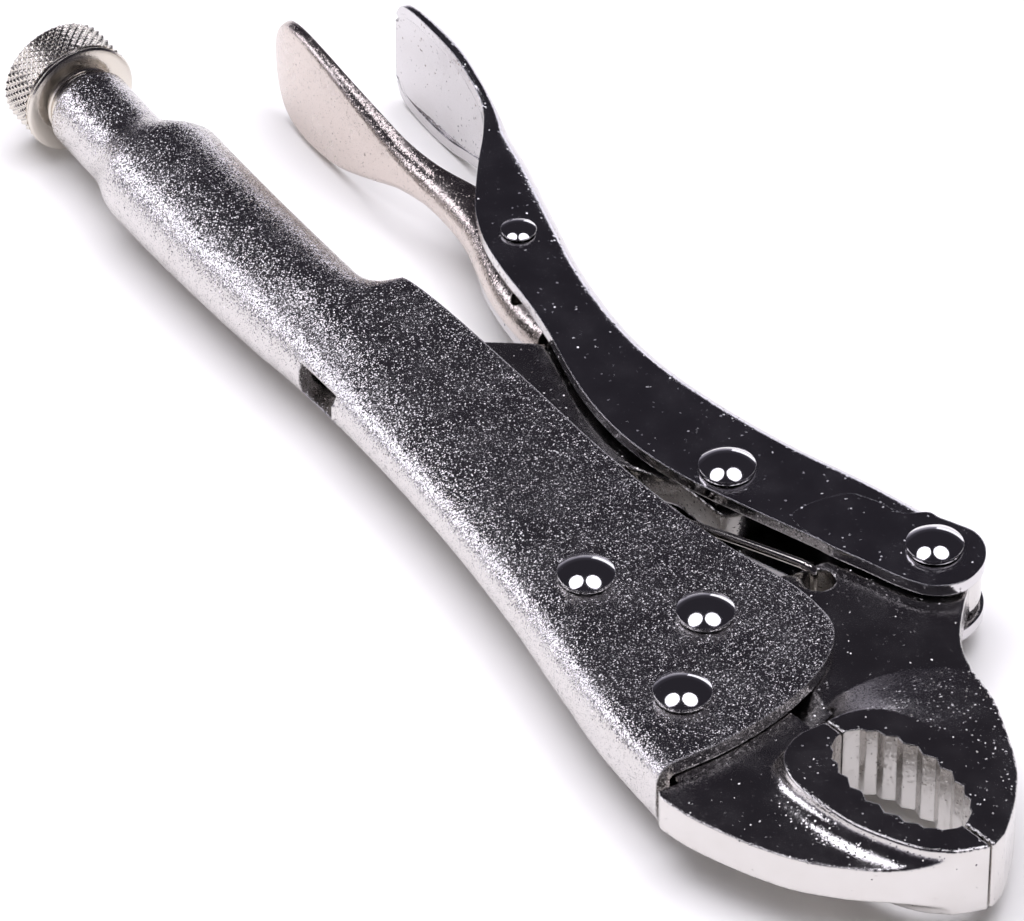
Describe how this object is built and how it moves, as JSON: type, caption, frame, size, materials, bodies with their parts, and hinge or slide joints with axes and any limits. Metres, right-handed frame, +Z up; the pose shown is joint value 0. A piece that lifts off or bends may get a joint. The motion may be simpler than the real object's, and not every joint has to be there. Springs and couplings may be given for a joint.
{
  "type": "locking pliers",
  "caption": "Locking pliers with curved toothed jaws, wire cutter, pressed channel handles, adjusting screw and release lever, closed and locked",
  "frame": {"origin": "middle of the underside of the tool lying on its side, at the height it rests on", "axes": "+X from the adjusting knob to the jaws, along the adjusting screw; +Y from the fixed handle to the moving handle; +Z up, along the rivets and every pivot"},
  "size_m": [0.2426, 0.0716, 0.0216],
  "materials": {
    "pressed_nickel": "nickel plate over grit-blasted pressed steel",
    "smooth_nickel": "nickel plate over smooth pressed steel",
    "forged_nickel": "nickel plate over ground forged steel",
    "rivet_nickel": "polished nickel plate",
    "turned_nickel": "nickel plate over turned and knurled steel",
    "wire_nickel": "nickel plated spring wire"
  },
  "bodies": {
    "fixed_body": {"fixed_handle": "pressed_nickel", "fixed_jaw": "forged_nickel", "jaw_rivet_rear": "rivet_nickel", "jaw_rivet_front": "rivet_nickel", "jaw_pivot_rivet": "rivet_nickel", "tension_spring": "wire_nickel"},
    "moving_jaw_body": {"moving_jaw": "forged_nickel"},
    "moving_handle_body": {"moving_handle": "smooth_nickel", "handle_pivot_rivet": "rivet_nickel", "toggle_pivot_rivet": "rivet_nickel", "release_lever_rivet": "rivet_nickel"},
    "toggle_link_body": {"toggle_link": "forged_nickel"},
    "release_lever_body": {"release_lever": "pressed_nickel"},
    "adjusting_screw_body": {"adjusting_screw": "turned_nickel"},
    "adjusting_knob_body": {"adjusting_knob": "turned_nickel"}
  },
  "joints": [
    {"name": "jaw_pivot", "type": "hinge", "parent": "fixed_body", "child": "moving_jaw_body", "pos_m": [0.0555, -0.0098, 0.0108], "axis": [0, 0, 1], "range_deg": [0, 24.5], "deforming": ["tension_spring"]},
    {"name": "handle_pivot", "type": "hinge", "parent": "moving_jaw_body", "child": "moving_handle_body", "pos_m": [0.0605, 0.0284, 0.0108], "axis": [0, 0, 1], "range_deg": [-68.2, 0]},
    {"name": "toggle_pivot", "type": "hinge", "parent": "moving_handle_body", "child": "toggle_link_body", "pos_m": [0.0283, 0.0113, 0.0108], "axis": [0, 0, 1], "range_deg": [0, 68.2]},
    {"name": "release_lever_pivot", "type": "hinge", "parent": "moving_handle_body", "child": "release_lever_body", "pos_m": [-0.0389, 0.0144, 0.0108], "axis": [0, 0, 1], "range_deg": [-5, 8]},
    {"name": "screw_travel", "type": "slide", "parent": "fixed_body", "child": "adjusting_screw_body", "axis": [1, 0, 0], "range_m": [-0.012, 0]},
    {"name": "knob_turn", "type": "hinge", "parent": "adjusting_screw_body", "child": "adjusting_knob_body", "pos_m": [-0.1111, -0.025, 0.0108], "axis": [1, 0, 0], "range_deg": [-2880, 0]}
  ],
  "couplings": [
    {"joint": "handle_pivot", "follows": "jaw_pivot", "ratio": -2.7778},
    {"joint": "toggle_pivot", "follows": "jaw_pivot", "ratio": 2.7778},
    {"joint": "knob_turn", "follows": "screw_travel", "rad_per_m": 4188.8}
  ]
}
